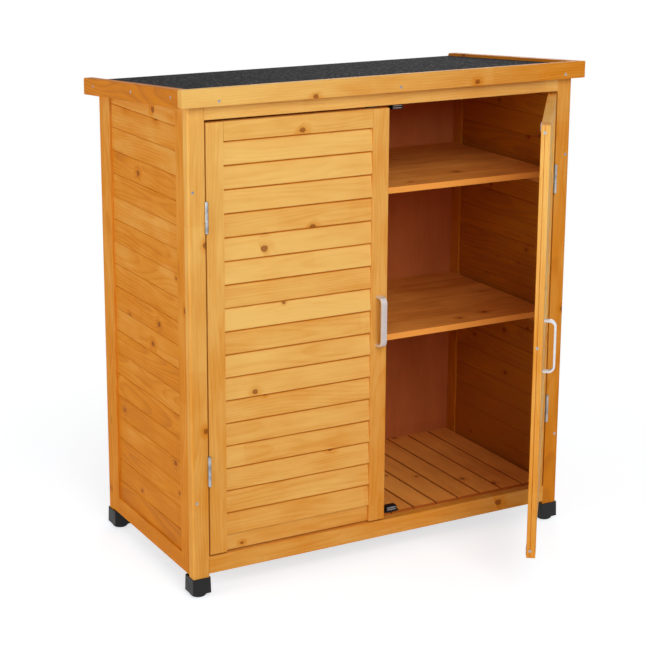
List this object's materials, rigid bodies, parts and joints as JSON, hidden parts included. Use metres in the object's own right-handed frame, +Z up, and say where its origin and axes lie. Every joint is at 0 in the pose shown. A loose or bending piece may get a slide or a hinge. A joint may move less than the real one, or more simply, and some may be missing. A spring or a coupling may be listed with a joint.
{
  "type": "garden storage cabinet",
  "caption": "Free-standing wooden garden cabinet with louvred double doors on butt hinges, boarded sides, inner shelves and a felted roof that slopes to the rear, standing on levelling feet.",
  "frame": {"origin": "on the floor, below the middle of the carcass", "axes": "+X to the right of someone facing the doors, +Y from the doors to the back panel, +Z up"},
  "size_m": [0.87, 0.7519, 0.9649],
  "materials": {
    "stained_fir": "honey-coloured stained fir, satin",
    "inner_fir": "stained fir boards, satin",
    "plywood": "stained plywood",
    "roof_felt": "mineral-grained bitumen felt, matt",
    "black_plastic": "moulded black plastic, matt",
    "zinc_steel": "zinc-plated steel",
    "satin_chrome": "satin chrome strip"
  },
  "bodies": {
    "carcass": {"assembly_screws": "zinc_steel", "back_panel": "plywood", "catch_housings": "black_plastic", "catch_pole_plates": "zinc_steel", "catch_screws": "zinc_steel", "fascia_front": "stained_fir", "fascia_left": "stained_fir", "fascia_right": "stained_fir", "floor_bearers": "inner_fir", "floor_boards": "inner_fir", "foot_cap_front_left": "black_plastic", "foot_cap_front_right": "black_plastic", "foot_cap_rear_left": "black_plastic", "foot_cap_rear_right": "black_plastic", "front_rail_bottom": "stained_fir", "front_rail_top": "stained_fir", "front_stile_left": "stained_fir", "front_stile_right": "stained_fir", "hinge_frame_leaves": "zinc_steel", "hinge_pins": "zinc_steel", "rear_rail_bottom": "stained_fir", "rear_rail_top": "stained_fir", "rear_stile_left": "stained_fir", "rear_stile_right": "stained_fir", "roof_batten_front": "stained_fir", "roof_board": "plywood", "roof_felt": "roof_felt", "shelf_cleats": "inner_fir", "shelf_lower": "inner_fir", "shelf_upper": "inner_fir", "side_boards_left": "stained_fir", "side_boards_right": "stained_fir", "side_rail_bottom_left": "stained_fir", "side_rail_bottom_right": "stained_fir", "side_stiles_left": "stained_fir", "side_stiles_right": "stained_fir"},
    "left_door": {"left_door_bottom_rail": "stained_fir", "left_door_handle": "satin_chrome", "left_door_hinge_leaves": "zinc_steel", "left_door_hinge_stile": "stained_fir", "left_door_lock_stile": "stained_fir", "left_door_screws": "zinc_steel", "left_door_slats": "stained_fir", "left_door_strike_plates": "zinc_steel", "left_door_top_rail": "stained_fir"},
    "right_door": {"right_door_bottom_rail": "stained_fir", "right_door_handle": "satin_chrome", "right_door_hinge_leaves": "zinc_steel", "right_door_hinge_stile": "stained_fir", "right_door_lock_stile": "stained_fir", "right_door_screws": "zinc_steel", "right_door_slats": "stained_fir", "right_door_strike_plates": "zinc_steel", "right_door_top_rail": "stained_fir"},
    "glide_front_left": {"levelling_glide_front_left": "black_plastic"},
    "glide_front_right": {"levelling_glide_front_right": "black_plastic"},
    "glide_rear_left": {"levelling_glide_rear_left": "black_plastic"},
    "glide_rear_right": {"levelling_glide_rear_right": "black_plastic"}
  },
  "joints": [
    {"name": "left_door_hinge", "type": "hinge", "parent": "carcass", "child": "left_door", "pos_m": [-0.38275, -0.2109, 0.491], "axis": [0, 0, -1], "range_deg": [0, 170]},
    {"name": "right_door_hinge", "type": "hinge", "parent": "carcass", "child": "right_door", "pos_m": [0.38275, -0.2109, 0.491], "axis": [0, 0, 1], "range_deg": [-52, 118]},
    {"name": "levelling_glide_front_left_screw_travel", "type": "slide", "parent": "carcass", "child": "glide_front_left", "axis": [0, 0, -1], "range_m": [0, 0.01]},
    {"name": "levelling_glide_front_right_screw_travel", "type": "slide", "parent": "carcass", "child": "glide_front_right", "axis": [0, 0, -1], "range_m": [0, 0.01]},
    {"name": "levelling_glide_rear_left_screw_travel", "type": "slide", "parent": "carcass", "child": "glide_rear_left", "axis": [0, 0, -1], "range_m": [0, 0.01]},
    {"name": "levelling_glide_rear_right_screw_travel", "type": "slide", "parent": "carcass", "child": "glide_rear_right", "axis": [0, 0, -1], "range_m": [0, 0.01]}
  ]
}
